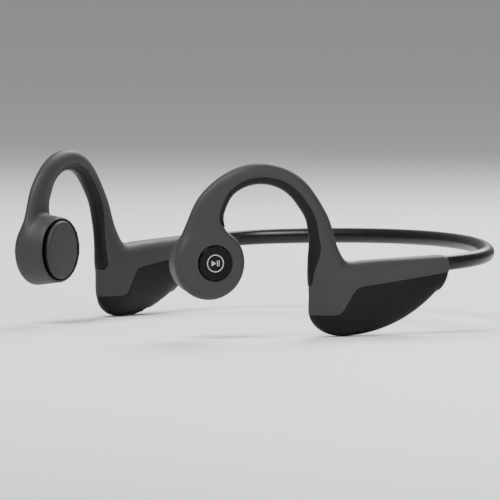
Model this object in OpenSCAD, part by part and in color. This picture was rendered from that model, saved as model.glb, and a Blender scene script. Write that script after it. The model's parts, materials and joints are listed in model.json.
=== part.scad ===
// Bone conduction headphones: two transducer pods on ear hooks, two housings behind the ears
// and an elastic neckband. The wearer faces -Y, +X is the wearer's left, +Z is up. The origin is
// the middle of the whole set at the height of the housings' lowest points.
// Each side is drawn flat, as a length p along the head and a height z, and wrapped on an arc.

/* [Fit on the head] */
// Half distance between the two pods' middles
pod_x = 48; // [46:0.5:50]
// Radius of the arc that each side follows, seen from above
side_r = 318; // [290:1:350]
// Angle of that arc at the pod
side_toe = 22.9; // [21:0.1:25]

/* [Pod] */
// Radius of the pod's outer face
pod_r = 12.3; // [12:0.1:12.8]
// Depth of the pod from outer face to contact pad
pod_depth = 12.6; // [12.4:0.1:13]
// Height of the pod's middle above the lowest point
pod_z = 25.3; // [24:0.1:27]
// Angle that the outer face turns forwards
pod_toe = 17.6; // [16:0.1:19]
// Angle that the contact pad turns
pad_toe = 24.6; // [23:0.1:26]
// Radius of the contact pad
pad_r = 9.9; // [9.7:0.05:10]

/* [Ear hook] */
// Length along the side from the pod to the hook's middle
arch_p = 16.5; // [16:0.1:17]
// Height of the arch's middle
arch_z = 36; // [35.5:0.1:36.5]
// Radius of the arch's inner side
arch_in = 15.3; // [15:0.1:15.6]
// Thickness of the hook, measured towards the arch's middle
hook_t = 7.1; // [6.8:0.1:7.4]
// Width of the hook, across the head
hook_w = 5.8; // [5.4:0.1:6.4]
// How far the rear of the arch bows away from the head
bow = 1.75; // [1.4:0.05:2]
// Diameter of the titanium wire in the hook
wire_d = 1; // [0.8:0.1:1.2]

/* [Housing] */
// Length along the side to the housing's front edge
house_p0 = 33.2; // [33:0.1:33.6]
// Length along the side to the housing's rear end
house_p1 = 82.9; // [82:0.1:84]
// Height of the housing's top edge at its front
house_top = 25; // [24.8:0.1:25.4]
// Greatest width of the housing, across the head
house_w = 10.4; // [10:0.1:11]
// Wall thickness
wall = 1.3; // [1.2:0.1:1.5]

/* [Neckband] */
// Outer diameter of the neckband
band_d = 5.2; // [4.8:0.1:5.4]
// Radius of the neckband's two side bends
band_r1 = 29.6; // [28:0.1:30]
// Angle that each side bend turns past straight back
band_turn = 50; // [48:1:54]
// Upward slope of the neckband to the rear
band_tilt = 3.9; // [3:0.1:5]

/* [Controls] */
// Radius of the multifunction button
button_r = 5.65; // [5.4:0.05:5.8]
// Length of a volume key
key_l = 7; // [6:0.1:7.5]
// Width of a volume key
key_w = 3; // [2.6:0.1:3.4]

/* [Hidden] */
$fn = 64;
skin_grey = "#4a4a4c";
dark = "#232326";
y_shift = -58.71;      // from the pod's middle to the middle of the whole set
gap = 0.15;           // clearance between fixed neighbours
slide = 0.3;          // clearance round a moving key
ring_n = 18;          // points round a hook section
hook_square = 2.15;   // roundness of a hook section, 2 is an ellipse
flat_n = 24;          // points round a housing section

// ---- the arc that each side follows ----
function turn(p) = side_toe - p / side_r * 180 / PI;
function along(p) = [
    pod_x + side_r * (cos(turn(p)) - cos(side_toe)),
    side_r * (sin(side_toe) - sin(turn(p))) + y_shift
];
// a point at length p, q outwards from the arc, height z
function wrap(p, q, z) = [
    along(p)[0] + q * cos(turn(p)),
    along(p)[1] - q * sin(turn(p)),
    z
];
module at_side(p, z) { translate([each along(p), z]) rotate([0, 0, -turn(p)]) children(); }

// ---- frames of the pod and of the pad; z points out of the face, x is up in the pad's ----
pod_at = [pod_x + 2.3, y_shift - 2.2, pod_z];
pad_at = pod_at + [
    -pod_depth * cos(pod_toe),
    pod_depth * sin(pod_toe),
    0
];
module pod_frame() { translate(pod_at) rotate([0, 0, -pod_toe]) rotate([0, 90, 0]) children(); }
module pad_frame() { translate(pad_at) rotate([0, 0, -pad_toe]) rotate([0, -90, 0]) children(); }
button_y = 1.4;       // the button sits this far behind the pod's middle
module button_frame() { pod_frame() translate([0, button_y, 0]) children(); }

// ---- helpers ----
function round_power(v, n) = sign(v) * pow(abs(v), 2 / n);
module cloud(points) { polyhedron(points, [[for (i = [0 : len(points) - 1]) i]]); }
// one closed solid with rings as its ribs
module loft(rings) {
    n = len(rings[0]);
    m = len(rings);
    sides = [for (i = [0 : m - 2]) for (j = [0 : n - 1])
        each [[i * n + j, (i + 1) * n + j, (i + 1) * n + (j + 1) % n],
              [i * n + j, (i + 1) * n + (j + 1) % n, i * n + (j + 1) % n]]];
    first = [for (j = [0 : n - 1]) j];
    last = [for (j = [n - 1 : -1 : 0]) (m - 1) * n + j];
    polyhedron([for (r = rings) each r], concat(sides, [first, last]));
}
// cubic through the middle two of four values
function spline(a, b, c, d, t) =
    b + t / 2 * (c - a + t * (2 * a - 5 * b + 4 * c - d + t * (3 * (b - c) + d - a)));
function smooth(list, steps, shift) = [
    for (i = [1 : len(list) - 3]) for (k = [0 : steps - 1])
        spline(list[i - 1], list[i], list[i + 1], list[i + 2], (k + shift) / steps)
];

// ---- ear hook ----
// Stations of the hook from inside the pod over the arch to inside the housing: length p,
// height z, direction of the outer side in degrees, inner and outer reach, half width, and how
// far it bows away from the head
arch_stations = [for (a = [150 : -15 : 15])
    [arch_p, arch_z, a,
     arch_in - 1.5 * pow(max(0, (a - 120) / 30), 2) + 0.8 * pow(max(0, (30 - a) / 15), 2),
     arch_in + hook_t + 1.5 * pow(max(0, (a - 110) / 40), 2) + 1 * pow(max(0, (30 - a) / 15), 2),
     hook_w / 2 - (a > 120 ? 0.3 : 0),
     bow * min(1, 0.3 + 0.7 * pow((165 - a) / 120, 2))]];
front_stations = [
    [-1.4, 20, 180, -10.5, 10.5, 2.2, 0.4],
    [-1.4, 24, 180, -10.9, 10.9, 2.3, 0.4],
    [-1.4, 28.5, 179, -10.6, 11.2, 2.4, 0.5],
    [-1.4, 33, 176, -8.2, 10.6, 2.4, 0.6],
    [arch_p, arch_z, 166, 13.4, 25, 2.4, 0.7]
];
rear_stations = [
    [arch_p, arch_z, 2, 16.6, 25, 2.9, 1.5],
    [34.5, 31, -8, -0.9, 9, 3.1, 1],
    [34.5, 27.5, -12, -1.3, 12.2, 3.5, 0.5],
    [34.5, 23, -12, -1.5, 15, 4, 0.1],
    [34.5, 17.5, -8, -1.4, 11, 4, 0],
    [34.5, 12, -8, -0.3, 7, 2.6, 0],
    [34.5, 6, -8, 0, 5, 2, 0]
];
stations = concat(front_stations, arch_stations, rear_stations);
function station_at(s, r) = [s[0] + r * cos(s[2]), s[1] + r * sin(s[2])];
function hook_point(s, a, trim) =
    let (mid = (s[3] + s[4]) / 2, half = (s[4] - s[3]) / 2 - trim,
         pz = station_at(s, mid + half * round_power(cos(a), hook_square)))
    wrap(pz[0] - 0.37 * s[6], s[6] + (s[5] - trim) * round_power(sin(a), hook_square), pz[1]);
function hook_ring(s, trim, n) = [for (k = [0 : n - 1]) hook_point(s, 360 * k / n, trim)];
hook_run = smooth(stations, 2, 0);

// the dark bead: the inner part of the same section, from the pod corner to low on the leg
inlay_n = 10;
inlay_depth = 1.1;
// where the bead starts on the section, so that it covers the given width of it
function inlay_width(s) = s[0] > 30 ? 2.4 : 2.4 - 0.6 * min(1, max(0, (s[2] - 110) / 40));
// how far the bead turns towards the head as it comes down the leg
function inlay_lean(s) = 20 * min(1, max(0, (31 - s[1]) / 12));
function inlay_from(s) =
    let (half = (s[4] - s[3]) / 2)
    180 - acos(pow((half - inlay_width(s)) / half, hook_square / 2));
function inlay_ring(s, top, depth, spread) =
    let (from = inlay_from(s) - spread, step = (360 - 2 * from) / inlay_n,
         first = from + inlay_lean(s))
    concat([for (k = [0 : inlay_n]) hook_point(s, first + k * step, top)],
           [for (k = [inlay_n : -1 : 0]) hook_point(s, first + k * step, depth)]);
module inlay_loft(top, depth, spread) {
    loft([for (s = inlay_run) inlay_ring(s, top, depth, spread)]);
}
between_run = smooth(stations, 2, 0.5);
inlay_run = [for (i = [5 : len(between_run) - 2]) between_run[i]];

// ---- housing: half width, bottom and top along the length ----
nose_l = 13.8;
bottom_p = 45;
bottom_r = 49;
nose_h = 9;
tail_p = house_p1 - 3.7;
function house_half(p) = house_w / 2 * (
    p < house_p0 + nose_l
        ? sqrt(max(0.02, 1 - pow((house_p0 + nose_l - p) / nose_l, 2)))
        : 1 - 0.12 * pow((p - house_p0 - nose_l) / (house_p1 - house_p0 - nose_l), 2));
function belly(p) = bottom_r - sqrt(pow(bottom_r, 2) - pow(p - bottom_p, 2));
function house_bottom(p) =
    p < bottom_p ? nose_h * (1 - sqrt(max(0, 1 - pow((bottom_p - p) / (bottom_p - house_p0), 2))))
    : p < tail_p ? belly(p)
    : belly(tail_p) + 7.4 * (1 - sqrt(max(0, 1 - pow((p - tail_p) / (house_p1 - tail_p + 0.1), 2))));
function house_roof(p) = house_top + 0.036 * (p - 45) - 0.5 * pow(max(0, p - house_p1 + 1.4) / 1.4, 2);
function house_ring(p, trim) =
    let (zb = house_bottom(p) + trim, zt = house_roof(p) - trim,
         mid = (zb + zt) / 2, half = (zt - zb) / 2, wide = house_half(p) - trim)
    [for (k = [0 : flat_n - 1])
        let (a = -360 * k / flat_n)
        wrap(p, wide * round_power(cos(a), 2.8), mid + half * round_power(sin(a), 2.8))];
house_l = house_p1 - house_p0;
house_cuts = concat([0.05, 0.6, 1.6, 3.2, 5.5, 8.5, 11.5, 15, 19, 23, 27, 31, 35, 39, 43],
    [for (back = [4, 2.4, 1.2, 0.5, 0]) house_l - back]);
cavity_cuts = [4, 5, 7, 9, 12, 16, 20, 25, 30, 35, 40, 43.5, 45.5, house_l - 2.8];
module house_body() { loft([for (c = house_cuts) house_ring(house_p0 + c, 0)]); }
module house_cavity() { loft([for (c = cavity_cuts) house_ring(house_p0 + c, wall)]); }

// the stepped seam between skin and lower cover, as the region under it, drawn in p and z
seam_corners = [[28, 7.2], [43, 7.2], [48.5, 16.3], [90, 21.4]];
seam_round = [0, 2.2, 2.6, 0];
function corner_cut(i, side, t) =
    let (d = seam_corners[i + side] - seam_corners[i])
    seam_corners[i] + d / norm(d) * seam_round[i] * t;
seam = concat(
    [seam_corners[0]],
    [for (i = [1, 2]) for (k = [0 : 4])
        let (t = k / 4)
        (1 - t) * (1 - t) * corner_cut(i, -1, 1) + 2 * t * (1 - t) * seam_corners[i]
            + t * t * corner_cut(i, 1, 1)],
    [seam_corners[3]]
);
module under_seam(lift) {
    for (i = [0 : len(seam) - 2])
        hull() cloud([for (s = [seam[i], seam[i + 1]]) for (q = [-9, 9]) for (z = [-5, s[1] + lift])
            wrap(s[0], q, z)]);
}

// ---- pod bowl; the pad is turned against its rim, so it stands furthest out at the front ----
rim_r = 10.95;
rim_depth = pod_depth - 1.5;
module cone(r1, r2, z1, z2) { translate([0, 0, z1]) cylinder(r1 = r1, r2 = r2, h = z2 - z1, $fn = 40); }
module pod_bowl() {
    hull() {
        pod_frame() {
            cone(pod_r - 0.8, pod_r - 1.6, -0.25, 0);
            cone(pod_r, pod_r - 0.25, -1.9, -0.8);
            cone(rim_r, rim_r + 0.1, -rim_depth, 0.3 - rim_depth);
        }
    }
}
cup_r = 9.75;         // outer radius of the cup in the pod
cup_l = 7.5;          // from the pad's face to the back of the cup
rim_back = 2.9;       // from the pad's face to the cup's rim
pad_gap = 0.5;        // dark gap round the pad
band_p = house_p1 + 0.2;
band_z = 23.3;

module side_skin(has_button) {
    color(skin_grey) difference() {
        union() {
            loft([for (s = hook_run) hook_ring(s, 0, ring_n)]);
            pod_bowl();
            difference() { house_body(); under_seam(0); }
        }
        house_cavity();
        inlay_loft(-0.6, inlay_depth + 0.05, 1);
        pad_frame() {
            translate([0, 0, -cup_l - gap]) cylinder(r = cup_r + gap, h = 20, $fn = 48);
            translate([0, 0, -rim_back]) cylinder(r = pad_r + pad_gap, h = 20, $fn = 48);
        }
        if (has_button) button_frame() {
            translate([0, 0, -2]) cylinder(r = button_r + 0.2, h = 6, $fn = 48);
            translate([0, 0, -3.7]) cylinder(r = guide_r + gap, h = 2.4, $fn = 48);
        }
        wire_groove();
        at_side(band_p, band_z) rotate([90, 0, 0])
            cylinder(r = core_r + 0.15, h = 12, center = true, $fn = 20);
    }
}
module side_inlay() { color(dark) inlay_loft(0, inlay_depth, 0); }

// ---- titanium wire in the hook, in a groove right under the bead ----
wire_stations = [for (i = [7 : len(hook_run) - 7]) hook_run[i]];
groove_w = wire_d + 0.2;
groove_bottom = inlay_depth + wire_d + 0.3;
// a point at a depth under the hook's inner side and a distance w across the hook
function under_inner(s, depth, w) =
    let (c = station_at(s, s[3] + depth))
    wrap(c[0] - 0.37 * s[6], s[6] + w, c[1]);
module wire_groove() {
    corners = [[groove_bottom, 0.5], [0.6, 0.5], [0.6, -0.5], [groove_bottom, -0.5]];
    loft([for (s = wire_stations) [for (c = corners) under_inner(s, c[0], c[1] * groove_w)]]);
}
module side_wire() {
    middle = inlay_depth + wire_d / 2 + 0.12;
    color("silver") loft([for (s = wire_stations) [for (k = [0 : 7])
        under_inner(s, middle + wire_d / 2 * cos(45 * k), wire_d / 2 * sin(45 * k))]]);
}

// ---- pod: cup, pad and driver, along the pad's axis ----
coil_r = 4.7;
boss_r = 2.6;
yoke_r = 6.2;
module tube(r, bore, z0, z1) {
    translate([0, 0, z0]) difference() {
        cylinder(r = r, h = z1 - z0);
        translate([0, 0, -1]) cylinder(r = bore, h = z1 - z0 + 2);
    }
}
module rod(r, z0, z1) { translate([0, 0, z0]) cylinder(r = r, h = z1 - z0); }
module side_cup() {
    color("#303034") pad_frame() {
        tube(cup_r, cup_r - 0.75, -cup_l + 0.6, -rim_back);
        rod(cup_r, -cup_l, -cup_l + 0.6);
    }
}
module side_pad() {
    edge = 0.8;
    color("#565658") pad_frame() {
        rotate_extrude() {
            square([pad_r - edge, 0.01]);
            translate([0, -2]) square([pad_r, 2 - edge]);
            translate([0, -edge]) square([pad_r - edge, edge]);
            translate([pad_r - edge, -edge]) intersection() {
                circle(r = edge);
                square(edge);
            }
        }
        rod(boss_r, -3.4, -2);
    }
}
module side_surround() { color("#18181a") pad_frame() tube(pad_r + pad_gap - 0.1, 8.2, -rim_back, -2.5); }
module side_spring() {
    color("silver") pad_frame() difference() {
        tube(8, boss_r, -3.3, -3.1);
        for (a = [0, 120, 240]) rotate([0, 0, a])
            rotate_extrude(angle = 95) translate([5.2, -3.6]) square([0.7, 0.8]);
        for (a = [60, 180, 300]) rotate([0, 0, a])
            rotate_extrude(angle = 95) translate([6.9, -3.6]) square([0.7, 0.8]);
    }
}
module side_yoke() {
    color("#8a8a8c") pad_frame() {
        tube(yoke_r, coil_r + 0.5, -6.2, -4.05);
        rod(yoke_r, -cup_l + 0.6, -6.2);
    }
}
module side_magnet() { color("#6e6e72") pad_frame() rod(3.4, -6.2, -4.8); }
module side_pole() { color("#9a9a9c") pad_frame() rod(3.6, -4.8, -4.05); }
module side_coil() {
    color("#b4713c") pad_frame() {
        tube(coil_r, coil_r - 0.65, -5.7, -3.65);
        rod(coil_r, -3.65, -3.4);
    }
}

// ---- multifunction button, along its own axis ----
guide_r = 6.9;
button_top = 0.15;
module stadium(l, w, h) {
    linear_extrude(height = h) {
        square([w, l - w], center = true);
        for (s = [-1, 1]) translate([0, s * (l - w) / 2]) circle(d = w);
    }
}
module multifunction_button() {
    color("#1c1c1e") button_frame() {
        rod(button_r, -1.05, button_top);
        tube(button_r, button_r - 0.8, -2.3, -1.05);
    }
}
module button_icon() {
    color("#a4a4a8") button_frame() translate([0, 0, button_top]) {
        tube(2.95, 2.6, 0, 0.05);
        linear_extrude(height = 0.05) {
            polygon([[-0.95, -1.35], [0.95, -1.35], [0, 0.25]]);
            for (y = [0.55, 1.15]) translate([-0.95, y]) square([1.9, 0.3]);
        }
    }
}
module button_guide() { color("#303034") button_frame() tube(guide_r, button_r + 0.06, -2.95, -1.35); }
module button_board() { color("#1f5b3a") button_frame() rod(guide_r, -3.55, -2.95); }
module button_switch() {
    color("silver") button_frame() {
        translate([-1.75, -1.75, -2.95]) cube([3.5, 3.5, 1]);
        rod(0.9, -1.95, -1.6);
    }
}

// ---- inside the housings ----
inner_p = 60;
module inner_frame() { at_side(inner_p, 0) children(); }
module box(w, y0, y1, z0, z1) { translate([-w / 2, y0, z0]) cube([w, y1 - y0, z1 - z0]); }
module side_chassis() {
    color("#303034") inner_frame() difference() {
        box(4.6, -15, 15, 20.2, 22.3);
        box(2.6, -13.5, 13.5, 21.2, 23);
        for (y = [-11, 12]) translate([0, y, 20]) cylinder(r = 0.7, h = 2);
    }
}
module battery() { color("#b8bcc4") inner_frame() box(5, -11, 9, 10.2, 19.6); }
module battery_board() { color("#1f5b3a") inner_frame() box(4.4, -14.2, -11.6, 11, 19.5); }
board_t = 0.8;
module main_board() {
    color("#1f5b3a") mirror([1, 0, 0]) inner_frame() box(board_t, -15, 6, 13, 20);
}
module radio_shield() {
    color("silver") mirror([1, 0, 0]) inner_frame()
        translate([-board_t / 2 - 0.75, 0, 0]) box(1.5, -12, -3, 13.6, 19.4);
}

// ---- lower cover and what sits in the right one's bottom edge ----
key_p = [54, 62.6];
light_p = 68;
port_p = 74.4;
mic_p = 46.5;
plug_l = 10.4;
plug_w = 4.4;
module belly_frame(p) {
    a = asin((p - bottom_p) / bottom_r);
    at_side(p, belly(p)) rotate([180 + a, 0, 0]) children();
}
module side_cover(has_controls) {
    color(dark) difference() {
        intersection() { house_body(); under_seam(-0.1); }
        house_cavity();
        if (has_controls) {
            for (p = key_p) belly_frame(p) translate([0, 0, -4])
                stadium(key_l + 2 * slide, key_w + 2 * slide, 8);
            belly_frame(light_p) rod(0.95, -4, 4);
            belly_frame(mic_p) rod(0.5, -4, 4);
            belly_frame(port_p) translate([0, 0, -0.9]) stadium(plug_l + 0.7, plug_w + 0.7, 8);
            belly_frame(port_p) translate([0, 0, -7]) stadium(7.9, 3, 8);
        }
    }
}
module volume_key(p) {
    color("#1c1c1e") mirror([1, 0, 0]) belly_frame(p) {
        translate([0, 0, -1.9]) stadium(key_l, key_w, 2);
    }
}
module volume_switch(p) {
    color("silver") mirror([1, 0, 0]) belly_frame(p) {
        translate([-1.3, -1.3, -4.1]) cube([2.6, 2.6, 1.2]);
        rod(0.6, -2.9, -2.6);
    }
}
module charging_port() {
    color("silver") mirror([1, 0, 0]) belly_frame(port_p) translate([0, 0, -6]) difference() {
        stadium(7.6, 2.7, 4.9);
        translate([0, 0, 0.6]) stadium(7, 2.1, 6);
    }
}
module port_cover() {
    color("#202022") mirror([1, 0, 0]) belly_frame(port_p)
        translate([0, 0, -0.7]) stadium(plug_l, plug_w, 0.8);
}
module status_light() { color("#d8d8dc") mirror([1, 0, 0]) belly_frame(light_p) rod(0.8, -2.6, 0); }
module microphone() { color("silver") mirror([1, 0, 0]) belly_frame(mic_p) rod(1.5, -2.8, -1.7); }

// ---- neckband, in its own tilted plane, from the left housing's end ----
band_at = along(band_p);
band_h = turn(band_p);
core_r = 1.2;
band_in = band_at[0] - band_r1 * cos(band_h);
band_r2 = band_r1 + band_in / cos(band_turn);
band_y2 = band_r1 * sin(band_h) - (band_r2 - band_r1) * sin(band_turn);
rear_half = 4;        // half angle of the middle stretch of the sleeve
module band_frame() { translate([0, band_at[1], band_z]) rotate([band_tilt, 0, 0]) children(); }
// stations of one half of the band, from the housing to the angle that is asked for
function side_station(a) = [band_in + band_r1 * cos(a), band_r1 * (sin(band_h) + sin(a)), a];
function rear_station(a) = [band_r2 * cos(a), band_y2 + band_r2 * sin(a), a];
function half_run(last) = concat(
    [for (i = [0 : 8]) side_station(-band_h + i * (band_turn + band_h) / 8)],
    [for (i = [1 : 6]) rear_station(band_turn + i * (last - band_turn) / 6)]
);
function flipped(list) = [for (i = [len(list) - 1 : -1 : 0])
    [-list[i][0], list[i][1], 180 - list[i][2]]];
function band_ring(s, r, lift, n) = [for (k = [0 : n - 1])
    let (w = -360 * k / n)
    [s[0] + r * cos(w) * cos(s[2]), s[1] + r * cos(w) * sin(s[2]), lift + r * sin(w)]];
module band_loft(run, r, lift, n) { loft([for (s = run) band_ring(s, r, lift, n)]); }
module half_sleeve() {
    run = half_run(90 - rear_half);
    past = concat([side_station(-band_h - 1)], run, [rear_station(91 - rear_half)]);
    color(dark) band_frame() difference() {
        band_loft(run, band_d / 2, 0, 14);
        band_loft(past, core_r, 0, 8);
    }
}
module band_sleeve_left() { half_sleeve(); }
module band_sleeve_right() { mirror([1, 0, 0]) half_sleeve(); }
module band_sleeve_rear() {
    color(dark) band_frame() translate([0, band_y2, 0]) rotate([0, 0, 90 - rear_half])
        rotate_extrude(angle = 2 * rear_half) translate([band_r2, 0]) difference() {
            circle(d = band_d);
            circle(r = core_r);
        }
}
// what runs inside the sleeve, and a little way into both housings
module band_core(r, lift) {
    inside = [side_station(-band_h - 6)];
    run = concat(inside, half_run(90), flipped(half_run(84)), flipped(inside));
    band_frame() band_loft(run, r, lift, 8);
}
module band_wire() { color("silver") band_core(wire_d / 2, 0.55); }
module band_cable() { color("#6a3030") band_core(0.45, -0.55); }

// ---- the two sides ----
module left_skin() { side_skin(true); }
module left_pod_cup() { side_cup(); }
module left_contact_pad() { side_pad(); }
module left_pad_surround() { side_surround(); }
module left_spring_plate() { side_spring(); }
module left_driver_yoke() { side_yoke(); }
module left_driver_magnet() { side_magnet(); }
module left_pole_plate() { side_pole(); }
module left_voice_coil() { side_coil(); }
module left_hook_wire() { side_wire(); }
module left_hook_inlay() { side_inlay(); }
module left_lower_cover() { side_cover(false); }
module left_chassis() { side_chassis(); }
module right_skin() { mirror([1, 0, 0]) side_skin(false); }
module right_pod_cup() { mirror([1, 0, 0]) side_cup(); }
module right_contact_pad() { mirror([1, 0, 0]) side_pad(); }
module right_pad_surround() { mirror([1, 0, 0]) side_surround(); }
module right_spring_plate() { mirror([1, 0, 0]) side_spring(); }
module right_driver_yoke() { mirror([1, 0, 0]) side_yoke(); }
module right_driver_magnet() { mirror([1, 0, 0]) side_magnet(); }
module right_pole_plate() { mirror([1, 0, 0]) side_pole(); }
module right_voice_coil() { mirror([1, 0, 0]) side_coil(); }
module right_hook_wire() { mirror([1, 0, 0]) side_wire(); }
module right_hook_inlay() { mirror([1, 0, 0]) side_inlay(); }
module right_lower_cover() { mirror([1, 0, 0]) side_cover(true); }
module right_chassis() { mirror([1, 0, 0]) side_chassis(); }
module volume_up_key() { volume_key(key_p[0]); }
module volume_down_key() { volume_key(key_p[1]); }
module volume_up_switch() { volume_switch(key_p[0]); }
module volume_down_switch() { volume_switch(key_p[1]); }

left_skin();
left_pod_cup();
left_contact_pad();
left_pad_surround();
left_spring_plate();
left_driver_yoke();
left_driver_magnet();
left_pole_plate();
left_voice_coil();
left_hook_wire();
left_hook_inlay();
left_lower_cover();
left_chassis();
multifunction_button();
button_icon();
button_guide();
button_switch();
button_board();
battery();
battery_board();
right_skin();
right_pod_cup();
right_contact_pad();
right_pad_surround();
right_spring_plate();
right_driver_yoke();
right_driver_magnet();
right_pole_plate();
right_voice_coil();
right_hook_wire();
right_hook_inlay();
right_lower_cover();
right_chassis();
main_board();
radio_shield();
volume_up_key();
volume_down_key();
volume_up_switch();
volume_down_switch();
charging_port();
port_cover();
status_light();
microphone();
band_sleeve_left();
band_sleeve_rear();
band_sleeve_right();
band_wire();
band_cable();
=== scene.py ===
"""Looks for the bone conduction headphones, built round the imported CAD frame."""

import json
import math

import bmesh
import bpy
import numpy as np
from mathutils import Matrix, Vector


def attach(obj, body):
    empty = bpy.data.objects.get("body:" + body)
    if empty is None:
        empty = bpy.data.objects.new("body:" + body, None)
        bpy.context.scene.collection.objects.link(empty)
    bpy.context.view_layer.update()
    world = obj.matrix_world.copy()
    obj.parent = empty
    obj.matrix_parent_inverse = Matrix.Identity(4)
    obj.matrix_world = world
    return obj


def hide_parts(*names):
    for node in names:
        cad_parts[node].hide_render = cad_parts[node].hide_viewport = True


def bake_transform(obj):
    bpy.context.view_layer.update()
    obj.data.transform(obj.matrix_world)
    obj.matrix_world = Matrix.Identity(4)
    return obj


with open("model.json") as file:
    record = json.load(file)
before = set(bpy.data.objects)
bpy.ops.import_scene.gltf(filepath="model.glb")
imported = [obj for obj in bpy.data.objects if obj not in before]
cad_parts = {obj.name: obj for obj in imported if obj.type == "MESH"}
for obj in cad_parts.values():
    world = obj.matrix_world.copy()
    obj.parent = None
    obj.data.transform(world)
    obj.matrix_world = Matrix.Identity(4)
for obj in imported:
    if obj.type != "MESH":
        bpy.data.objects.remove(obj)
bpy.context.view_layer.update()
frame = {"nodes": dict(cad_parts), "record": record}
MM = 0.001

# ---------------------------------------------------------------- shape, as in the CAD source (mm)
POD_X, SIDE_R, SIDE_TOE, Y_SHIFT = 48, 318, math.radians(22.9), -58.71
POD_R, POD_DEPTH, POD_Z, POD_TOE = 12.3, 12.6, 25.3, 17.6
PAD_R, PAD_TOE = 9.9, 24.6
ARCH_P, ARCH_Z, ARCH_IN, BOW = 16.5, 36, 15.3, 1.75
HOOK_T, HOOK_W, HOOK_SQUARE = 7.1, 5.8, 2.15
HOUSE_P0, HOUSE_P1, HOUSE_TOP, HOUSE_W, HOUSE_SQUARE = 33.2, 82.9, 25, 10.4, 2.8
NOSE_P, TAIL_P = HOUSE_P0 + 13.8, HOUSE_P1 - 3.7  # where the housing's front and rear rounding begin
BELLY_P, BELLY_R = 45, 49
WALL = 1.3
BAND_D, BAND_R1, BAND_TURN, BAND_TILT, BAND_Z = 5.2, 29.6, 50, 3.9, 23.3
BUTTON_R, KEY_P, LIGHT_P, MIC_P, PORT_P = 5.65, (54, 62.6), 68, 46.5, 74.4
KEY_L, KEY_W, PLUG_L, PLUG_W = 7, 3, 10.4, 4.4


def cosd(a):
    return math.cos(math.radians(a))


def sind(a):
    return math.sin(math.radians(a))


def turn(p):
    """Direction of the side's arc at length p."""
    return SIDE_TOE - p / SIDE_R


def along(p):
    t = turn(p)
    x = POD_X + SIDE_R * (math.cos(t) - math.cos(SIDE_TOE))
    return x, SIDE_R * (math.sin(SIDE_TOE) - math.sin(t)) + Y_SHIFT


def wrap(p, q, z):
    """A point at length p along the side, q outwards from its arc and height z."""
    x, y = along(p)
    return x + q * math.cos(turn(p)), y - q * math.sin(turn(p)), z


def power(v, n):
    return math.copysign(abs(v) ** (2 / n), v)


# ---------------------------------------------------------------- ear hook
def arch_station(a):
    inner = ARCH_IN - 1.5 * max(0, (a - 120) / 30) ** 2 + 0.8 * max(0, (30 - a) / 15) ** 2
    outer = ARCH_IN + HOOK_T + 1.5 * max(0, (a - 110) / 40) ** 2 + max(0, (30 - a) / 15) ** 2
    half = HOOK_W / 2 - (0.3 if a > 120 else 0)
    return [ARCH_P, ARCH_Z, a, inner, outer, half, BOW * min(1, 0.3 + 0.7 * ((165 - a) / 120) ** 2)]


# centre (p, z), direction, nearest and farthest reach, half width and shift outwards of each section
STATIONS = np.array(
    [
        [-1.4, 20, 180, -10.5, 10.5, 2.2, 0.4],
        [-1.4, 24, 180, -10.9, 10.9, 2.3, 0.4],
        [-1.4, 28.5, 179, -10.6, 11.2, 2.4, 0.5],
        [-1.4, 33, 176, -8.2, 10.6, 2.4, 0.6],
        [ARCH_P, ARCH_Z, 166, 13.4, 25, 2.4, 0.7],
        *[arch_station(a) for a in range(150, 0, -15)],
        [ARCH_P, ARCH_Z, 2, 16.6, 25, 2.9, 1.5],
        [34.5, 31, -8, -0.9, 9, 3.1, 1],
        [34.5, 27.5, -12, -1.3, 12.2, 3.5, 0.5],
        [34.5, 23, -12, -1.5, 15, 4, 0.1],
        [34.5, 17.5, -8, -1.4, 11, 4, 0],
        [34.5, 12, -8, -0.3, 7, 2.6, 0],
        [34.5, 6, -8, 0, 5, 2, 0],
    ]
)
RUN = (1, len(STATIONS) - 2.01)
BEAD = (3.75, 19.15)  # where the bead starts and ends on the run


def station(t):
    """The hook's section at run length t, by the same cubic as the CAD."""
    i = min(int(t), len(STATIONS) - 3)
    a, b, c, d = STATIONS[i - 1 : i + 3]
    k = t - i
    return b + k / 2 * (c - a + k * (2 * a - 5 * b + 4 * c - d + k * (3 * (b - c) + d - a)))


def hook_point(s, angle, trim=0.0):
    """A point of section s, at an angle round it and trim under its surface."""
    mid, half = (s[3] + s[4]) / 2, (s[4] - s[3]) / 2 - trim
    r = mid + half * power(cosd(angle), HOOK_SQUARE)
    q = s[6] + (s[5] - trim) * power(sind(angle), HOOK_SQUARE)
    return wrap(s[0] + r * cosd(s[2]) - 0.37 * s[6], q, s[1] + r * sind(s[2]))


def eased(ring_at, runs, width=0.42, taps=9):
    """Rings along the run with its small wobbles evened out."""
    low, high = RUN
    offsets = np.linspace(-2, 2, taps)
    share = np.exp(-(offsets**2) / 2)
    rings = []
    for t in runs:
        w = min(width, (t - low) / 2, (high - t) / 2)
        near_by = [np.array(ring_at(station(t + w * o), t)) for o in offsets]
        rings.append(sum(r * k for r, k in zip(near_by, share)) / share.sum())
    return rings


def hook_ring(s, t, n=56):
    return [hook_point(s, 360 * k / n) for k in range(n)]


def bead_width(s):
    return 2.4 if s[0] > 30 else 2.4 - 0.6 * min(1, max(0, (s[2] - 110) / 40))


def down_leg(s, start, length):
    """0 above height start on the rear leg, 1 below start - length."""
    return min(1, max(0, (start - s[1]) / length)) if s[0] > 30 else 0


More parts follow.
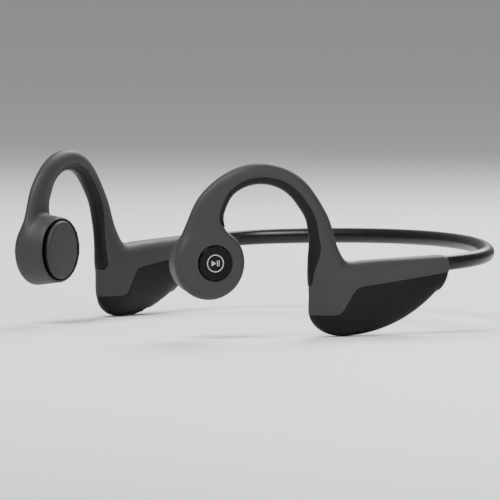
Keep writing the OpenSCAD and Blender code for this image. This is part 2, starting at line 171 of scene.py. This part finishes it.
def bead_ring(s, top, depth, spread, share, n=20):
    """The bead's section: its outer face, then its inner one. share narrows it towards an end."""
    half = (s[4] - s[3]) / 2
    reach = math.degrees(math.acos(((half - bead_width(s)) / half) ** (HOOK_SQUARE / 2)))
    end = down_leg(s, 28, 10)
    middle = 180 - 8 * down_leg(s, 48, 12) + 0.36 * reach * end
    reach = reach * (1 - 0.3 * end) * share + spread
    angles = [middle + reach * (2 * k / n - 1) for k in range(n + 1)]
    return [hook_point(s, a, top) for a in angles] + [hook_point(s, a, depth) for a in angles[::-1]]


def bead_loft(top, depth, spread, longer):
    """The bead, or its pocket, with rounded ends."""
    first, last = BEAD[0] - longer / 6, BEAD[1] + longer / 5

    def ring(s, t):
        end = min((t - first) * 3.2, (last - t) * 1.9, 1)
        return bead_ring(s, top, depth, spread, 0.25 + 0.75 * math.sqrt(1 - (1 - end) ** 2))

    return lofted(eased(ring, np.linspace(first, last, 190)))


# ---------------------------------------------------------------- housing
def house_half(p):
    if p < NOSE_P:
        return HOUSE_W / 2 * math.sqrt(max(0.02, 1 - ((NOSE_P - p) / (NOSE_P - HOUSE_P0)) ** 2))
    return HOUSE_W / 2 * (1 - 0.12 * ((p - NOSE_P) / (HOUSE_P1 - NOSE_P)) ** 2)


def belly(p):
    return BELLY_R - math.sqrt(BELLY_R**2 - (p - BELLY_P) ** 2)


def house_bottom(p):
    if p < BELLY_P:
        return 9 * (1 - math.sqrt(max(0, 1 - ((BELLY_P - p) / (BELLY_P - HOUSE_P0)) ** 2)))
    if p < TAIL_P:
        return belly(p)
    return belly(TAIL_P) + 7.4 * (1 - math.sqrt(max(0, 1 - ((p - TAIL_P) / (HOUSE_P1 - TAIL_P + 0.1)) ** 2)))


def house_roof(p):
    return HOUSE_TOP + 0.036 * (p - BELLY_P) - 0.5 * (max(0, p - HOUSE_P1 + 1.4) / 1.4) ** 2


def house_ring(p, trim, n=72):
    low, high, wide = house_bottom(p) + trim, house_roof(p) - trim, house_half(p) - trim
    mid, half = (low + high) / 2, (high - low) / 2
    ring = []
    for k in range(n):
        a = -360 * k / n
        ring.append(wrap(p, wide * power(cosd(a), HOUSE_SQUARE), mid + half * power(sind(a), HOUSE_SQUARE)))
    return ring


# ---------------------------------------------------------------- places of the turned and flat pieces
def rotation(axis, degrees):
    return np.array(Matrix.Rotation(math.radians(degrees), 4, axis))


def shift(x, y, z):
    return np.array(Matrix.Translation((x, y, z)))


POD_AT = np.array([POD_X + 2.3, Y_SHIFT - 2.2, POD_Z])
PAD_AT = POD_AT + POD_DEPTH * np.array([-cosd(POD_TOE), sind(POD_TOE), 0])
POD = shift(*POD_AT) @ rotation("Z", -POD_TOE) @ rotation("Y", 90)
PAD = shift(*PAD_AT) @ rotation("Z", -PAD_TOE) @ rotation("Y", -90)
BUTTON = POD @ shift(0, 1.4, 0)


def belly_frame(p):
    """On the housing's underside at length p, Z pointing out of it."""
    a = math.degrees(math.asin((p - BELLY_P) / BELLY_R))
    return shift(*wrap(p, 0, belly(p))) @ rotation("Z", -math.degrees(turn(p))) @ rotation("X", 180 + a)


BAND_P = HOUSE_P1 + 0.2
BAND_H = math.degrees(turn(BAND_P))
BAND_X, BAND_Y = along(BAND_P)
BAND_IN = BAND_X - BAND_R1 * cosd(BAND_H)
BAND_R2 = BAND_R1 + BAND_IN / cosd(BAND_TURN)
BAND_Y2 = BAND_R1 * sind(BAND_H) - (BAND_R2 - BAND_R1) * sind(BAND_TURN)
BAND = shift(0, BAND_Y, BAND_Z) @ rotation("X", BAND_TILT)
BAND_END = shift(*wrap(BAND_P, 0, BAND_Z)) @ rotation("Z", -BAND_H) @ rotation("X", 90)


# ---------------------------------------------------------------- mesh helpers
def linked(name, mesh):
    obj = bpy.data.objects.new(name, mesh)
    bpy.context.scene.collection.objects.link(obj)
    return obj


def mesh_object(name, points, faces, matrix=None, side=1):
    """A mesh object from points in mm. side -1 is the mirror image, for the right-hand unit."""
    v = np.array(points, float)
    if matrix is not None:
        v = v @ matrix[:3, :3].T + matrix[:3, 3]
    v = v * MM * [side, 1, 1]
    mesh = bpy.data.meshes.new(name)
    mesh.from_pydata(v.tolist(), [], [list(f) for f in faces])
    bm = bmesh.new()
    bm.from_mesh(mesh)
    bmesh.ops.remove_doubles(bm, verts=bm.verts, dist=1e-7)
    bmesh.ops.recalc_face_normals(bm, faces=bm.faces)
    bm.to_mesh(mesh)
    bm.free()
    return linked(name, mesh)


def lofted(rings):
    """Points and faces of a tube through the rings, with end caps."""
    n, m = len(rings[0]), len(rings)
    points = [p for r in rings for p in r]
    faces = []
    for i in range(0, (m - 1) * n, n):
        faces += [(i + j, i + n + j, i + n + (j + 1) % n, i + (j + 1) % n) for j in range(n)]
    return points, faces + [tuple(range(n)), tuple((m - 1) * n + j for j in range(n))]


def turned(profile, n=96):
    """A turned solid about Z from (radius, height) pairs; the profile starts and ends on the axis."""
    rings = []
    for r, z in profile:
        rings.append([(r * cosd(360 * k / n), r * sind(360 * k / n), z) for k in range(n)])
    return lofted(rings)


def rod(r, low, high, n=40):
    return turned([(0, low), (r, low), (r, high), (0, high)], n)


def corner(r, high, edge, steps):
    """Profile points round the top edge of a disc."""
    turns = [90 * k / steps for k in range(steps + 1)]
    return [(r - edge + edge * cosd(a), high - edge + edge * sind(a)) for a in turns]


def stadium_ring(length, width, z, n=16):
    straight, r = (length - width) / 2, width / 2
    right = [(r * cosd(a), straight + r * sind(a), z) for a in np.linspace(0, 180, n)]
    left = [(-x, -y, z) for x, y, _ in right]
    return right + left


def stadium(length, width, low, high, edge=0.0, steps=5):
    """A stadium-shaped slab with a rounded top edge."""
    rings = [stadium_ring(length, width, low)]
    for k in range(steps + 1 if edge else 1):
        inset = edge * (1 - cosd(90 * k / steps))
        z = high - edge + edge * sind(90 * k / steps)
        rings.append(stadium_ring(length - 2 * inset, width - 2 * inset, z))
    return lofted(rings)


def circle(matrix, r, z, n=120):
    pts = np.array([(r * cosd(360 * k / n), r * sind(360 * k / n), z) for k in range(n)])
    return (pts @ matrix[:3, :3].T + matrix[:3, 3]).tolist()


def hull_of(name, points):
    bm = bmesh.new()
    for p in points:
        bm.verts.new(Vector(p) * MM)
    bmesh.ops.convex_hull(bm, input=bm.verts)
    bmesh.ops.delete(bm, geom=[v for v in bm.verts if not v.link_faces], context="VERTS")
    mesh = bpy.data.meshes.new(name)
    bm.to_mesh(mesh)
    bm.free()
    return linked(name, mesh)


def copy_of(obj, name):
    return linked(name, obj.data.copy())


def mirrored(obj, name):
    new = copy_of(obj, name)
    bm = bmesh.new()
    bm.from_mesh(new.data)
    for v in bm.verts:
        v.co.x = -v.co.x
    bmesh.ops.reverse_faces(bm, faces=bm.faces)
    bm.to_mesh(new.data)
    bm.free()
    return new


def discard(*objects):
    for o in objects:
        bpy.data.objects.remove(o)


def apply_modifiers(obj):
    graph = bpy.context.evaluated_depsgraph_get()
    mesh = bpy.data.meshes.new_from_object(obj.evaluated_get(graph))
    old = obj.data
    obj.modifiers.clear()
    obj.data = mesh
    bpy.data.meshes.remove(old)


def boolean(obj, cutter, operation="DIFFERENCE"):
    mod = obj.modifiers.new("cut", "BOOLEAN")
    mod.operation, mod.solver, mod.object = operation, "EXACT", cutter
    apply_modifiers(obj)


def vertex_values(obj, what="co"):
    v = np.empty(len(obj.data.vertices) * 3)
    obj.data.vertices.foreach_get(what, v)
    return v


def relax(obj, rounds, share=None, keep_size=True):
    """Evens a dense mesh. share, one value a vertex, limits it to some places."""
    mesh = obj.data
    n = len(mesh.vertices)
    v = vertex_values(obj).reshape(-1, 3)
    e = np.empty(len(mesh.edges) * 2, int)
    mesh.edges.foreach_get("vertices", e)
    a, b = np.concatenate([e[::2], e[1::2]]), np.concatenate([e[1::2], e[::2]])
    count = np.bincount(a, minlength=n)[:, None]
    weight = 1.0 if share is None else share[:, None]
    for _ in range(rounds):
        for pull in (0.5, -0.52) if keep_size else (0.5,):
            mean = np.stack([np.bincount(a, v[b, k], n) for k in range(3)], 1) / count
            v = v + (mean - v) * pull * weight
    mesh.vertices.foreach_set("co", v.ravel())
    mesh.update()


def near(obj, centres):
    """How near each vertex is to any of the centres, (point in mm, radius in mm), as 0 to 1."""
    v = vertex_values(obj).reshape(-1, 3) / MM
    return np.max([np.exp(-((np.linalg.norm(v - c, axis=1) / r) ** 2)) for c, r in centres], axis=0)


def push(obj, mm):
    """Moves a surface along its normals."""
    obj.data.vertices.foreach_set("co", vertex_values(obj) + vertex_values(obj, "normal") * mm * MM)
    obj.data.update()


# ---------------------------------------------------------------- materials
def noise_node(tree, coordinates, scale, detail):
    node = tree.nodes.new("ShaderNodeTexNoise")
    node.inputs["Scale"].default_value = scale
    node.inputs["Detail"].default_value = detail
    tree.links.new(coordinates.outputs["Object"], node.inputs["Vector"])
    return node


def material(name, color, rough, grain, grain_depth, spread, wear=0.0, metallic=0.0, specular=0.5):
    """A procedural finish: uneven colour and roughness, fine grain in the normal, and lighter worn edges."""
    mat = bpy.data.materials.new(name)
    mat.use_nodes = True
    tree = mat.node_tree
    nodes, links = tree.nodes, tree.links
    shader = nodes["Principled BSDF"]
    coordinates = nodes.new("ShaderNodeTexCoord")

    cloud = noise_node(tree, coordinates, 60, 6)
    tint = nodes.new("ShaderNodeValToRGB")
    darker, lighter = tint.color_ramp.elements
    darker.position, lighter.position = 0.3, 0.7
    darker.color = (*[c * (1 - spread) for c in color], 1)
    lighter.color = (*[min(1, c * (1 + spread)) for c in color], 1)
    links.new(cloud.outputs["Fac"], tint.inputs["Fac"])
    out = tint.outputs["Color"]
    if wear:
        edge = nodes.new("ShaderNodeNewGeometry")
        band = nodes.new("ShaderNodeMapRange")
        band.inputs["From Min"].default_value = 0.53
        band.inputs["From Max"].default_value = 0.62
        band.inputs["To Max"].default_value = wear
        links.new(edge.outputs["Pointiness"], band.inputs["Value"])
        mix = nodes.new("ShaderNodeMix")
        mix.data_type = "RGBA"
        mix.inputs["B"].default_value = (*[min(1, c * 2 + 0.03) for c in color], 1)
        links.new(band.outputs["Result"], mix.inputs["Factor"])
        links.new(out, mix.inputs["A"])
        out = mix.outputs["Result"]
    links.new(out, shader.inputs["Base Color"])

    smudge = noise_node(tree, coordinates, 220, 4)
    shine = nodes.new("ShaderNodeMapRange")
    shine.inputs["To Min"].default_value = max(0.02, rough - 0.07)
    shine.inputs["To Max"].default_value = min(1, rough + 0.07)
    links.new(smudge.outputs["Fac"], shine.inputs["Value"])
    links.new(shine.outputs["Result"], shader.inputs["Roughness"])

    fine = noise_node(tree, coordinates, grain, 3)
    bump = nodes.new("ShaderNodeBump")
    bump.inputs["Distance"].default_value = 0.0002
    bump.inputs["Strength"].default_value = grain_depth
    links.new(fine.outputs["Fac"], bump.inputs["Height"])
    links.new(bump.outputs["Normal"], shader.inputs["Normal"])

    shader.inputs["Metallic"].default_value = metallic
    shader.inputs["Specular IOR Level"].default_value = specular
    return mat


FINISH = {}


def moulded(name, color, rough, grain, depth, spread, wear=0.0, specular=0.5):
    FINISH[name] = material(name, color, rough, grain, depth, spread, wear, specular=specular)


def metal(name, color, rough, grain, depth, spread):
    FINISH[name] = material(name, color, rough, grain, depth, spread, metallic=1)


moulded("grey_skin", (0.032, 0.032, 0.0335), 0.55, 9000, 0.12, 0.06, 0.1, 0.28)
moulded("dark_cover", (0.004, 0.004, 0.0043), 0.42, 5000, 0.06, 0.1, 0.1, 0.16)
moulded("dark_inlay", (0.005, 0.005, 0.0053), 0.45, 6000, 0.08, 0.1, 0.1, 0.18)
moulded("band_rubber", (0.004, 0.004, 0.0044), 0.32, 4000, 0.05, 0.1, 0, 0.3)
moulded("pad_rubber", (0.03, 0.03, 0.031), 0.55, 9000, 0.15, 0.08, 0.1, 0.25)
moulded("black_rubber", (0.003, 0.003, 0.0032), 0.6, 5000, 0.1, 0.12, 0, 0.12)
moulded("dark_key", (0.012, 0.012, 0.0125), 0.45, 6000, 0.1, 0.1, 0.15, 0.35)
moulded("gloss_button", (0.003, 0.003, 0.0033), 0.2, 3000, 0.01, 0.1, 0, 0.14)
moulded("icon_print", (0.42, 0.42, 0.43), 0.5, 6000, 0.05, 0.06)
moulded("light_lens", (0.6, 0.62, 0.65), 0.25, 3000, 0.02, 0.04)
moulded("dark_frame", (0.03, 0.03, 0.032), 0.5, 5000, 0.1, 0.1, 0.1)
moulded("circuit_board", (0.02, 0.11, 0.05), 0.4, 3000, 0.05, 0.15)
moulded("cable_jacket", (0.25, 0.05, 0.05), 0.45, 5000, 0.05, 0.08)
metal("spring_steel", (0.6, 0.6, 0.62), 0.35, 5000, 0.04, 0.06)
metal("yoke_steel", (0.35, 0.35, 0.36), 0.4, 5000, 0.05, 0.08)
metal("magnet", (0.5, 0.5, 0.52), 0.25, 4000, 0.03, 0.06)
metal("copper", (0.62, 0.28, 0.12), 0.35, 12000, 0.2, 0.1)
metal("titanium", (0.45, 0.44, 0.43), 0.35, 8000, 0.06, 0.06)
metal("switch_metal", (0.6, 0.6, 0.61), 0.3, 5000, 0.04, 0.06)
metal("battery_foil", (0.6, 0.61, 0.63), 0.35, 2000, 0.15, 0.05)


def place(obj, body, slot, *nodes, degrees=35):
    """Finishes a piece: its shading, finish, body and the CAD nodes that it stands for."""
    obj.data.shade_smooth()
    obj.data.set_sharp_from_angle(angle=math.radians(degrees))
    obj.data.materials.clear()
    obj.data.materials.append(FINISH[slot])
    if body:
        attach(obj, body)
    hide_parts(*nodes)


# ---------------------------------------------------------------- one side's skin, cover, bead and pad
def pod_hull():
    """The bowl, with a soft outer edge and a rim facing the head."""
    edge = 2.1
    points = []
    for k in range(9):
        a = 90 * k / 8
        points += circle(POD, POD_R - edge + edge * sind(a), -edge * (1 - cosd(a)))
    for r, back in ((11.0, 0), (11.03, 0.15), (10.95, 0.3)):
        points += circle(POD, r, back + 1.2 - POD_DEPTH)
    return hull_of("pod", points)


def house_loft():
    front = np.linspace(HOUSE_P0 + 0.02, HOUSE_P0 + 14, 40)
    middle = np.linspace(HOUSE_P0 + 14, HOUSE_P1 - 2.5, 60)
    rear = np.linspace(HOUSE_P1 - 2.4, HOUSE_P1, 12)
    return lofted([house_ring(p, 0) for p in sorted({*front, *middle, *rear})])


def bare_body():
    """The whole left skin without its cuts: hook, pod and housing grown into one another."""
    hook = mesh_object("hook", *lofted(eased(hook_ring, np.linspace(*RUN, 230))))
    pod = pod_hull()
    house = mesh_object("house", *house_loft())
    with bpy.context.temp_override(active_object=hook, selected_editable_objects=[hook, pod, house]):
        bpy.ops.object.join()
    mod = hook.modifiers.new("grow", "REMESH")
    mod.mode, mod.voxel_size = "VOXEL", 0.4 * MM
    apply_modifiers(hook)
    relax(hook, 12)
    meetings = [
        (wrap(47.5, 0, 25.5), 4.5),
        (wrap(7.5, 0, 36.5), 3.5),
        (wrap(-9, 1, 35.5), 6.5),
        (wrap(0.7, 0, 23.6), 5.5),
        (wrap(35, 0, 14), 3.5),
        (wrap(38.5, 0, 10), 3),
    ]
    relax(hook, 90, near(hook, meetings), keep_size=False)
    return hook


def seam_outline(lift):
    """The stepped seam in p and z, with its two corners rounded."""
    corners = np.array([[26, 7.2], [43, 7.2], [48.5, 16.3], [90, 21.4]])
    path = [corners[0]]
    for i, r in ((1, 2.2), (2, 2.6)):
        a = corners[i - 1] - corners[i]
        b = corners[i + 1] - corners[i]
        a = corners[i] + a / np.linalg.norm(a) * r
        b = corners[i] + b / np.linalg.norm(b) * r
        for t in np.linspace(0, 1, 12):
            path.append((1 - t) ** 2 * a + 2 * t * (1 - t) * corners[i] + t * t * b)
    path.append(corners[3])
    out = []
    for a, b in zip(path[:-1], path[1:]):
        steps = max(1, int(np.linalg.norm(b - a) / 2))
        out += [a + (b - a) * k / steps for k in range(steps)]
    return [(p, z + lift) for p, z in out + [path[-1]]]


def seam_block(name, lift, side):
    """Everything under the seam, as a cutter."""
    rings = []
    for p, z in seam_outline(lift):
        rings.append([wrap(p, -9, -5), wrap(p, 9, -5), wrap(p, 9, z), wrap(p, -9, z)])
    return mesh_object(name, *lofted(rings), side=side)


def house_cavity(side):
    cuts = [HOUSE_P0 + c for c in (4, 5, 7, 9, 12, 16, 20, 25, 30, 35, 40, 43.5, 45.5, 46.9)]
    return mesh_object("cavity", *lofted([house_ring(p, WALL, 48) for p in cuts]), side=side)


def skin_cutters(side):
    """The bead's pocket, the driver's well, the cover's room, the button's hole and the band's bore."""
    well = [(0, -7.65), (9.9, -7.65), (9.9, -2.9), (10.4, -2.9), (10.4, -0.9), (10.9, 4), (0, 4)]
    cutters = [
        mesh_object("pocket", *bead_loft(-0.6, 1.2, 1.2, 0.25), side=side),
        mesh_object("well", *turned(well), PAD, side),
        seam_block("block", 0.06, side),
    ]
    if side == 1:
        guide = [(0, -3.7), (7.05, -3.7), (7.05, -1.3)]
        mouth = [(5.85, -1.3), (5.85, -0.45), (6.4, 0.2), (6.4, 3), (0, 3)]
        cutters.append(mesh_object("hole", *turned(guide + mouth), BUTTON, side))
    cutters.append(mesh_object("bore", *rod(1.35, -6, 6), BAND_END, side))
    return cutters


def control_cutters():
    """The openings for keys, port, light and microphone, in the right cover's underside."""
    cutters = [mesh_object("slot", *stadium(7.6, 3.6, -4, 4), belly_frame(p), -1) for p in KEY_P]
    cutters.append(mesh_object("seat", *stadium(11.1, 5.1, -0.9, 8), belly_frame(PORT_P), -1))
    cutters.append(mesh_object("mouth", *stadium(7.9, 3, -7, 2), belly_frame(PORT_P), -1))
    cutters.append(mesh_object("lamp", *rod(0.95, -4, 4), belly_frame(LIGHT_P), -1))
    cutters.append(mesh_object("ear", *rod(0.5, -4, 4), belly_frame(MIC_P), -1))
    return cutters


def contact_pad(name, side):
    """The pad: a grey face, and a side wall coloured black as painted shade."""
    crown = [(0, -2), (PAD_R - 0.3, -2), (PAD_R, -1.7)]
    crown += [(PAD_R - 0.9 + 0.9 * cosd(90 * k / 8), -0.95 + 0.9 * sind(90 * k / 8)) for k in range(9)]
    crown += [(r, -0.05 + 0.05 * (1 - (r / 9) ** 2)) for r in (8, 6, 4, 2, 0)]
    pad = mesh_object(f"{name}_pad_face", *turned(crown), PAD, side)
    place(pad, f"{name}_transducer", "pad_rubber", f"{name}_contact_pad", degrees=60)
    # second finish: black on the side wall, painted shade where the pad's side falls into shadow
    pad.data.materials.append(FINISH["black_rubber"])
    out = Vector((PAD[:3, :3] @ [0, 0, 1]) * [side, 1, 1])
    face_at = out.dot(Vector(PAD_AT * [side, 1, 1])) * MM
    # faces more than 0.95 mm under the face form the side wall and take the black painted shade
    for poly in pad.data.polygons:
        if out.dot(poly.center) - face_at < -0.95 * MM:
            poly.material_index = 1


def one_side(name, side, bare):
    unit = f"{name}_unit"
    skin = (copy_of if side == 1 else mirrored)(bare, f"{name}_skin_shell")
    cover = copy_of(skin, f"{name}_cover_shell")

    cavity = house_cavity(side)
    cutters = [cavity, *skin_cutters(side)]
    for c in cutters:
        boolean(skin, c)
    place(skin, unit, "grey_skin", f"{name}_skin")

    push(cover, -0.08)
    lower = seam_block("lower", -0.08, side)
    boolean(cover, lower, "INTERSECT")
    boolean(cover, cavity)
    controls = control_cutters() if side == -1 else []
    for c in controls:
        boolean(cover, c)
    place(cover, unit, "dark_cover", f"{name}_lower_cover")
    discard(*cutters, lower, *controls)

    bead = mesh_object(f"{name}_hook_bead", *bead_loft(-0.04, 1.1, 0, 0), side=side)
    place(bead, unit, "dark_inlay", f"{name}_hook_inlay", degrees=50)
    contact_pad(name, side)


BARE = bare_body()
one_side("left", 1, BARE)
one_side("right", -1, BARE)
discard(BARE)


# ---------------------------------------------------------------- button and its printed icon
def dish(r):
    """Height of the cap's slightly hollow face."""
    return 0.15 - 0.13 * (1 - (r / 5.3) ** 2)


def printed(outline):
    """A thin flat print that follows the cap's hollow; outline is in the button's own plane."""
    low = [(x, y, dish(math.hypot(x, y)) - 0.02) for x, y in outline]
    high = [(x, y, dish(math.hypot(x, y)) + 0.03) for x, y in outline]
    return lofted([low, high])


def arc(r0, r1, a0, a1, n=40):
    angles = np.linspace(a0, a1, n)
    inner = [(r0 * cosd(a), r0 * sind(a)) for a in angles]
    return inner + [(r1 * cosd(a), r1 * sind(a)) for a in angles[::-1]]


cap = [(0, -2.3), (BUTTON_R - 0.8, -2.3), (BUTTON_R, -2.2)]
cap += corner(BUTTON_R, 0.15, 0.35, 6)
cap += [(r, dish(r)) for r in (5, 4.5, 4, 3.5, 3, 2, 1, 0)]
button = mesh_object("button_cap", *turned(cap), BUTTON)
place(button, "main_button", "gloss_button", "multifunction_button", degrees=60)

marks = [arc(2.62, 2.95, 0, 180), arc(2.62, 2.95, 180, 360)]
marks.append([(-0.95, -1.35), (0.95, -1.35), (0, 0.25)])
marks += [[(-0.95, y), (0.95, y), (0.95, y + 0.3), (-0.95, y + 0.3)] for y in (0.55, 1.15)]
points, faces = [], []
for mark in marks:
    mark_points, mark_faces = printed(mark)
    faces += [tuple(i + len(points) for i in face) for face in mark_faces]
    points += mark_points
icon = mesh_object("button_print", points, faces, BUTTON)
place(icon, "main_button", "icon_print", "button_icon")

# ---------------------------------------------------------------- keys, flap and light
for name, key_p in zip(("volume_up", "volume_down"), KEY_P):
    key = mesh_object(f"{name}_cap", *stadium(KEY_L, KEY_W, -1.9, 0.1, 0.25), belly_frame(key_p), -1)
    place(key, f"{name}_button", "dark_key", f"{name}_key", degrees=50)
flap = mesh_object("port_flap_cap", *stadium(PLUG_L, PLUG_W, -0.7, 0.1, 0.2), belly_frame(PORT_P), -1)
place(flap, "port_flap", "black_rubber", "port_cover", degrees=50)
lens_profile = [(0, -2.6), (0.8, -2.6), *corner(0.8, 0.05, 0.15, 6), (0, 0.05)]
lens = mesh_object("status_lens", *turned(lens_profile, 48), belly_frame(LIGHT_P), -1)
place(lens, "right_unit", "light_lens", "status_light", degrees=50)


# ---------------------------------------------------------------- neckband
def band_station(a):
    """Centre and direction of the band at angle a: the tight bend, then the wide rear arc."""
    if a <= BAND_TURN:
        return BAND_IN + BAND_R1 * cosd(a), BAND_R1 * (sind(BAND_H) + sind(a)), a
    return BAND_R2 * cosd(a), BAND_Y2 + BAND_R2 * sind(a), a


def band_tube(name, radius, lift, start, n=40):
    angles = [*np.linspace(start, BAND_TURN, 36), *np.linspace(BAND_TURN + 1, 90, 40)]
    half = [band_station(a) for a in angles]
    rings = []
    for x, y, a in half + [(-x, y, 180 - a) for x, y, a in half[-2::-1]]:
        ring = []
        for w in np.linspace(0, 360, n, endpoint=False):
            out = radius * cosd(w)
            ring.append((x + out * cosd(a), y + out * sind(a), lift + radius * sind(w)))
        rings.append(ring)
    return mesh_object(name, *lofted(rings), BAND)


def over_flex(obj, slot, *nodes):
    """Finishes a band piece with no body of its own and bakes its placement into its mesh."""
    place(obj, None, slot, *nodes, degrees=50)
    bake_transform(obj)


sleeve = band_tube("neckband_sleeve", BAND_D / 2, 0, -BAND_H)
over_flex(sleeve, "band_rubber", "band_sleeve_left", "band_sleeve_rear", "band_sleeve_right")
over_flex(band_tube("neckband_wire", 0.5, 0.55, -BAND_H - 6, 16), "titanium", "band_wire")
over_flex(band_tube("neckband_cable", 0.45, -0.55, -BAND_H - 6, 16), "cable_jacket", "band_cable")

# ---------------------------------------------------------------- the CAD nodes that stay
slots = {s["node"]: s["material_slot"] for s in frame["record"]["subparts"]}
for node, obj in frame["nodes"].items():
    finish = FINISH[slots[node]]
    if obj.data.materials:
        for material_slot in obj.material_slots:
            material_slot.material = finish
    else:
        obj.data.materials.append(finish)


# ---------------------------------------------------------------- floor, light and camera
def floor_material():
    mat = bpy.data.materials.new("pale_floor")
    mat.use_nodes = True
    nodes, links = mat.node_tree.nodes, mat.node_tree.links
    noise = nodes.new("ShaderNodeTexNoise")
    noise.inputs["Scale"].default_value = 8
    ramp = nodes.new("ShaderNodeValToRGB")
    ramp.color_ramp.elements[0].color = (0.78, 0.78, 0.78, 1)
    ramp.color_ramp.elements[1].color = (0.82, 0.82, 0.82, 1)
    links.new(noise.outputs["Fac"], ramp.inputs["Fac"])
    links.new(ramp.outputs["Color"], nodes["Principled BSDF"].inputs["Base Color"])
    nodes["Principled BSDF"].inputs["Roughness"].default_value = 0.6
    return mat


FAR = 4000
floor_corners = [(-FAR, -FAR, 0), (FAR, -FAR, 0), (FAR, FAR, 0), (-FAR, FAR, 0)]
floor = mesh_object("floor", floor_corners, [(0, 1, 2, 3)])
floor.data.materials.append(floor_material())

AZIMUTH, ELEVATION = 53, 3.5
BACK = Vector((sind(AZIMUTH) * cosd(ELEVATION), -cosd(AZIMUTH) * cosd(ELEVATION), sind(ELEVATION)))
RIGHT = Vector((cosd(AZIMUTH), sind(AZIMUTH), 0))
UP = BACK.cross(RIGHT)


def area_light(name, back, right, up, energy, size):
    """A round lamp, placed by metres towards the camera, to its right and upwards."""
    data = bpy.data.lights.new(name, "AREA")
    data.energy, data.size, data.shape = energy, size, "DISK"
    lamp = linked(name, data)
    lamp.location = back * BACK + right * RIGHT + Vector((0, 0, up))
    lamp.rotation_euler = (Vector((0, 0, 0.02)) - lamp.location).to_track_quat("-Z", "Y").to_euler()


area_light("key", 0.35, -0.3, 0.8, 11, 0.5)
area_light("fill", 0.7, 0.6, 0.3, 3, 0.6)
area_light("rim", -0.6, 0.2, 0.6, 8, 0.5)

world = bpy.data.worlds.new("studio")
world.use_nodes = True
world.node_tree.nodes["Background"].inputs["Color"].default_value = (0.85, 0.87, 0.9, 1)
world.node_tree.nodes["Background"].inputs["Strength"].default_value = 0.38
bpy.context.scene.world = world

FRAME_WIDTH = 0.16949  # metres across the frame, at the part
LENS, SENSOR = 700, 36
camera = linked("camera", bpy.data.cameras.new("camera"))
camera.data.lens, camera.data.sensor_width, camera.data.clip_end = LENS, SENSOR, 50
camera.location = RIGHT * -0.005593 + UP * 0.025051 + BACK * (FRAME_WIDTH * LENS / SENSOR)
camera.rotation_euler = BACK.to_track_quat("Z", "Y").to_euler()
bpy.context.scene.camera = camera
